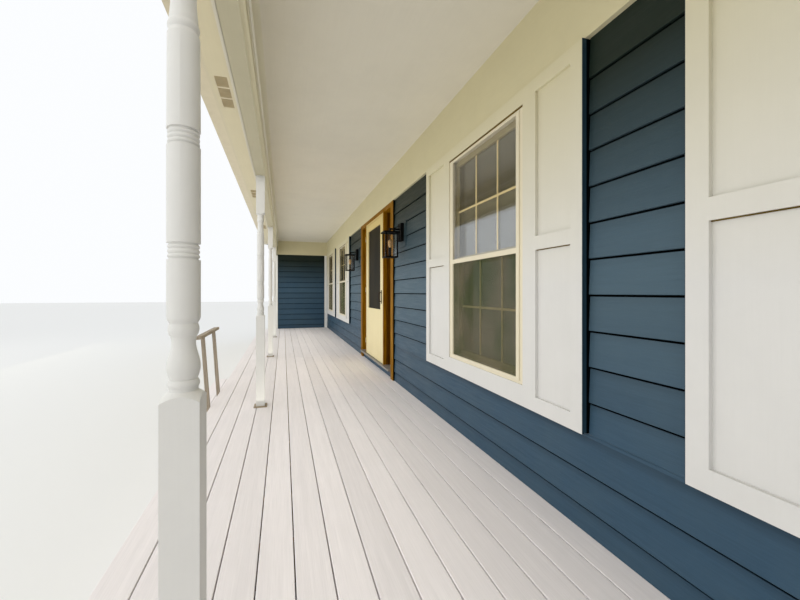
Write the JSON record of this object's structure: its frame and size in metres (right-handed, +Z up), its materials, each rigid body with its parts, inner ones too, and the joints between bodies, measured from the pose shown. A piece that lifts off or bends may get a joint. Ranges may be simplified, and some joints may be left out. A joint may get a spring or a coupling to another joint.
{
  "type": "covered front porch with its house wall",
  "caption": "Long covered front porch with turned posts, composite deck, lapped siding wall, windows with side panels and a hinged glazed door.",
  "frame": {"origin": "on the ground, in the middle of the footprint of the whole part", "axes": "+X along the porch from its end wall to its open end, +Y from the yard towards the house, +Z up"},
  "size_m": [14.706, 2.4658, 3.7787],
  "materials": {
    "composite_deck": "brushed light grey-beige composite boards with a faint grain",
    "framing_timber": "plain sawn softwood",
    "pier_concrete": "cast concrete",
    "weathered_wood": "bare weathered grey-tan wood",
    "plate_metal": "dull tan-grey coated steel",
    "trim_paint": "off-white satin paint on wood",
    "ceiling_paint": "smooth warm white paint",
    "vent_metal": "painted louvred grille",
    "gutter_metal": "white baked enamel",
    "roof_shingle": "granule-faced shingles in mixed greys",
    "siding_paint": "slate navy satin paint on lapped siding",
    "sash_vinyl": "cream satin vinyl",
    "window_glass": "clear glass",
    "stained_wood": "orange-brown stain with a satin clear coat",
    "door_paint": "cream satin enamel",
    "threshold_metal": "dull mill aluminium",
    "hinge_metal": "cream enamel",
    "door_glass": "slightly dark glass",
    "handle_metal": "dark bronze coating",
    "lantern_metal": "matte black powder coat",
    "lantern_glass": "clear glass"
  },
  "bodies": {
    "porch": {"deck_floor": "composite_deck", "deck_frame": "framing_timber", "deck_piers": "pier_concrete", "skirt_boards": "composite_deck", "step_tread": "composite_deck", "step_frame": "composite_deck", "handrail": "weathered_wood", "post_1": "trim_paint", "post_2": "trim_paint", "post_3": "trim_paint", "post_4": "trim_paint", "post_5": "trim_paint", "post_base_plates": "plate_metal", "front_beam": "trim_paint", "side_beam": "trim_paint", "crown_moulding": "trim_paint", "porch_ceiling": "ceiling_paint", "soffit": "trim_paint", "soffit_vents": "vent_metal", "fascia_boards": "trim_paint", "gutter": "gutter_metal", "rafters": "framing_timber", "roof_boarding": "framing_timber", "roof_shingles": "roof_shingle", "house_wall_near": "siding_paint", "house_wall_far": "siding_paint", "house_wall_over_door": "siding_paint", "house_wall_under_door": "siding_paint", "end_wall": "siding_paint", "gable_wall": "siding_paint", "corner_boards": "trim_paint", "frieze_board": "trim_paint", "window_casings": "trim_paint", "storm_windows": "sash_vinyl", "window_frames": "sash_vinyl", "window_side_panels": "trim_paint", "window_sashes": "sash_vinyl", "window_glass": "window_glass", "entry_frame": "stained_wood", "entry_side_panels": "stained_wood", "door_frame": "door_paint", "door_threshold": "threshold_metal", "door_hinges": "hinge_metal", "lantern_blocks": "siding_paint", "lantern_frames": "lantern_metal", "lantern_glass": "lantern_glass"},
    "door": {"front_door": "door_paint", "door_glass": "door_glass", "door_handle": "handle_metal"}
  },
  "joints": [
    {"name": "front_door_hinge", "type": "hinge", "parent": "porch", "child": "door", "pos_m": [-1.0995, 1.0256, 0.486], "axis": [0, 0, -1], "range_deg": [0, 100]}
  ]
}
